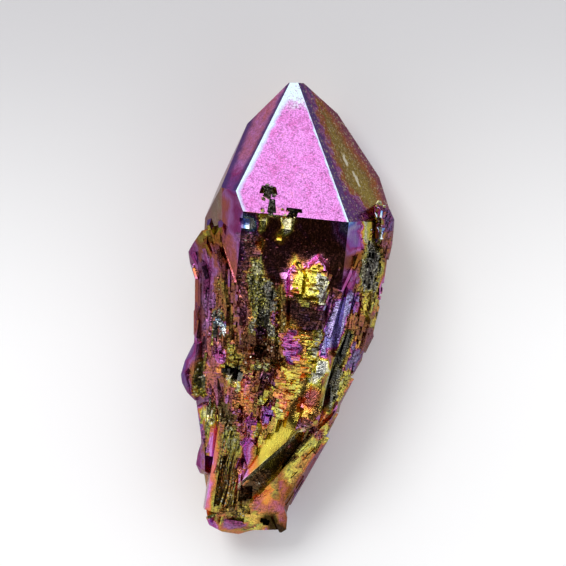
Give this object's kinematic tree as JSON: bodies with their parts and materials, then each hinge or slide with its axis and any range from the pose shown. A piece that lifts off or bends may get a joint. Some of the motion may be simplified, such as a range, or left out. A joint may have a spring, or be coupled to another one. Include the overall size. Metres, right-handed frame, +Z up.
{
  "type": "aura quartz crystal",
  "caption": "Skeletal quartz point with an iridescent metallic aura coating: a six-sided tip over a body of parallel growths, ledges and hopper pits, lying on its back.",
  "frame": {"origin": "centre of the bounding box's footprint, on the surface that the crystal lies on", "axes": "+Y towards the tip, along the length; +Z up, away from the surface; +X to the right when seen from above with the tip pointing away"},
  "size_m": [0.0214, 0.0452, 0.0168],
  "materials": {
    "aura_quartz": "thin metallic vapour coating over quartz: mirror-like to satin, shifting through magenta, violet, blue, cyan, gold and olive from face to face"
  },
  "bodies": {
    "root": {"crystal": "aura_quartz"}
  },
  "joints": []
}
